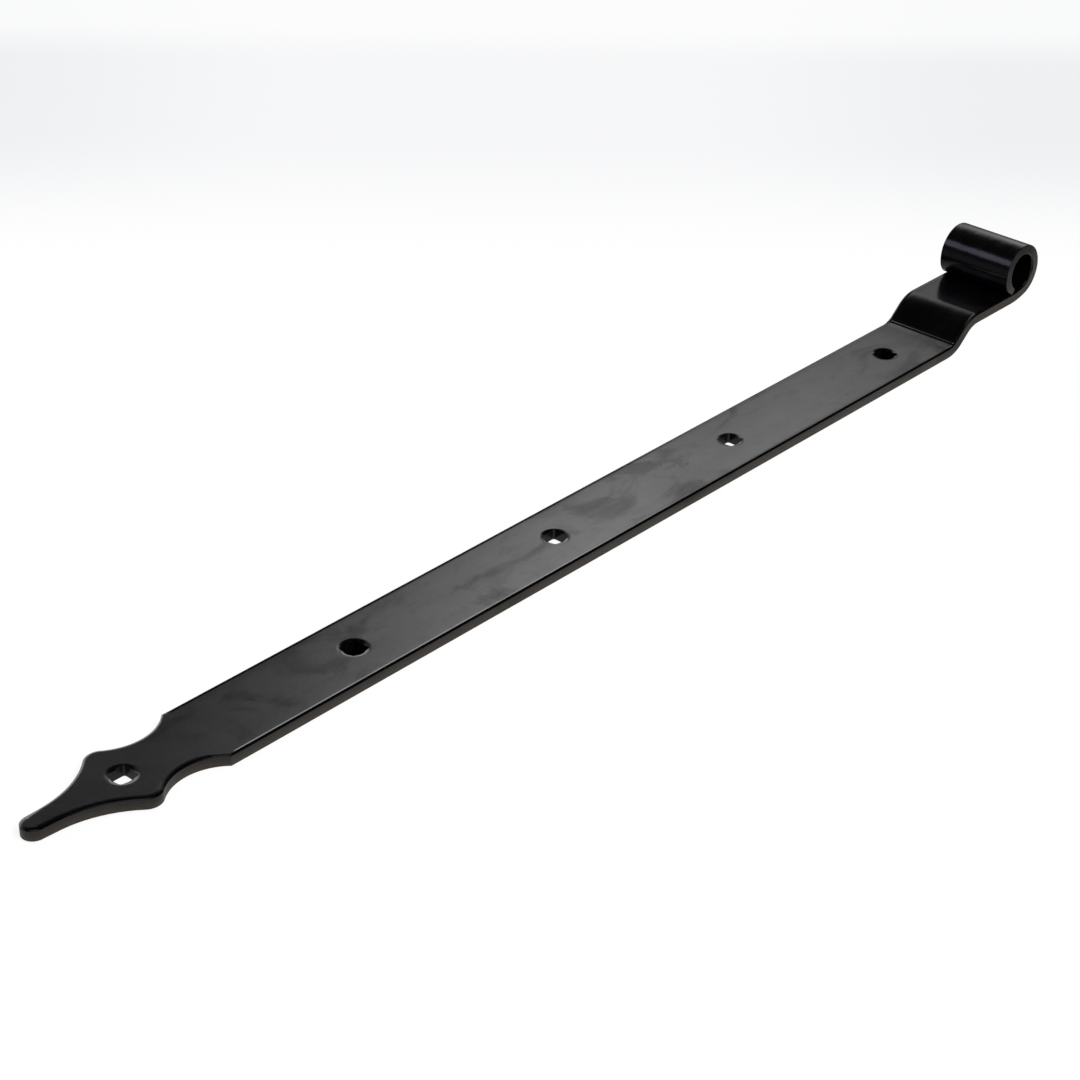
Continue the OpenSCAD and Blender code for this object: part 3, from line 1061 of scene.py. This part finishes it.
def build_world():
    """White all round for the camera. The paint mirrors a dim room with a pale side and ceiling."""
    world = bpy.data.worlds.new("studio")
    bpy.context.scene.world = world
    world.use_nodes = True
    tree = world.node_tree
    tree.nodes.clear()
    rays = node(tree, "ShaderNodeLightPath", (-600, 400))
    place = node(tree, "ShaderNodeTexCoord", (-1600, -200))
    way = node(tree, "ShaderNodeSeparateXYZ", (-1400, -200), _0=place.outputs["Generated"])
    toward_x = maths(tree, (-1200, -100), "MULTIPLY", way.outputs["X"], 0.35)
    toward_y = maths(tree, (-1200, -250), "MULTIPLY", way.outputs["Y"], 0.94)
    toward = maths(tree, (-1000, -200), "ADD", toward_x, toward_y)
    pale_side = spread(tree, (-800, -200), toward, 0.38, 0.95)
    below_top = spread(tree, (-1000, -400), way.outputs["Z"], 0.45, 0.85, 0.5, 0.0)
    pale = maths(tree, (-600, -300), "MULTIPLY", pale_side, below_top)
    horizon = spread(tree, (-800, -550), way.outputs["Z"], 0.05, 0.40, 0.10, 0.004)
    overhead = spread(tree, (-800, -700), way.outputs["Z"], 0.92, 0.99, 0.0, 0.5)
    above = maths(tree, (-650, -600), "ADD", horizon, overhead)
    dim = maths(tree, (-500, -450), "ADD", pale, above)
    around = node(tree, "ShaderNodeBackground", (-300, 0), Color=(0.97, 0.98, 1.0, 1), Strength=0.45)
    mirrored = node(tree, "ShaderNodeBackground", (-300, -150), Color=(0.9, 0.93, 1.0, 1), Strength=dim)
    seen = node(tree, "ShaderNodeBackground", (-300, -300), Color=(0.965, 0.972, 0.98, 1), Strength=1.0)
    lit = node(
        tree, "ShaderNodeMixShader", (0, 0),
        _0=rays.outputs["Is Glossy Ray"], _1=around.outputs[0], _2=mirrored.outputs[0],
    )
    shown = node(
        tree, "ShaderNodeMixShader", (200, 0),
        _0=rays.outputs["Is Camera Ray"], _1=lit.outputs[0], _2=seen.outputs[0],
    )
    node(tree, "ShaderNodeOutputWorld", (400, 0), _0=shown.outputs[0])


def add_lamp(name, target, azimuth, elevation, distance, size, power, colour=(1, 1, 1), mirrored=True):
    """A square soft lamp that faces the target. mirrored says whether it shows as a reflection."""
    way = Vector((
        math.cos(azimuth) * math.cos(elevation),
        math.sin(azimuth) * math.cos(elevation),
        math.sin(elevation),
    ))
    lamp = bpy.data.lights.new(name, "AREA")
    lamp.size = size
    lamp.energy = power
    lamp.color = colour
    holder = bpy.data.objects.new(name, lamp)
    holder.location = Vector(target) + distance * way
    holder.visible_glossy = mirrored
    holder.rotation_euler = (-way).to_track_quat("-Z", "Y").to_euler()
    bpy.context.scene.collection.objects.link(holder)


def add_camera():
    lens = bpy.data.cameras.new("camera")
    lens.lens = CAMERA_LENS
    lens.sensor_width = CAMERA_SENSOR
    lens.clip_end = 20
    camera = bpy.data.objects.new("camera", lens)
    camera.location = CAMERA_PLACE
    camera.rotation_mode = "QUATERNION"
    level = (AIM - CAMERA_PLACE).to_track_quat("-Z", "Y")
    camera.rotation_quaternion = level @ Quaternion((0, 0, 1), CAMERA_ROLL)
    bpy.context.scene.collection.objects.link(camera)
    bpy.context.scene.camera = camera


strap_leaf = draw_half_plan("strap_leaf")
thicken(strap_leaf)
round_edges(strap_leaf)
raise_burr(strap_leaf)
punch_holes(strap_leaf)
set_spear(strap_leaf)
form_joggle_and_eye(strap_leaf)
finish_shading(strap_leaf)
strap_leaf.data.materials.append(satin_black_paint(build_edge_finder(), build_paint_film()))
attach(strap_leaf, "root")
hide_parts("strap")

build_stage()
build_world()
add_lamp(
    "key_lamp", target=((cad_low[0] + cad_high[0]) / 2, 0, BAR_TOP),
    azimuth=math.radians(80), elevation=math.radians(55),
    distance=1.6, size=0.9, power=24, mirrored=False,
)
add_lamp(
    "window_lamp", target=(0, 0, 0),
    azimuth=math.radians(-38.5), elevation=math.radians(35.5),
    distance=1.5, size=0.45, power=0.65, colour=(0.80, 0.72, 1.0),
)
add_camera()

bpy.context.scene.view_settings.view_transform = "Standard"
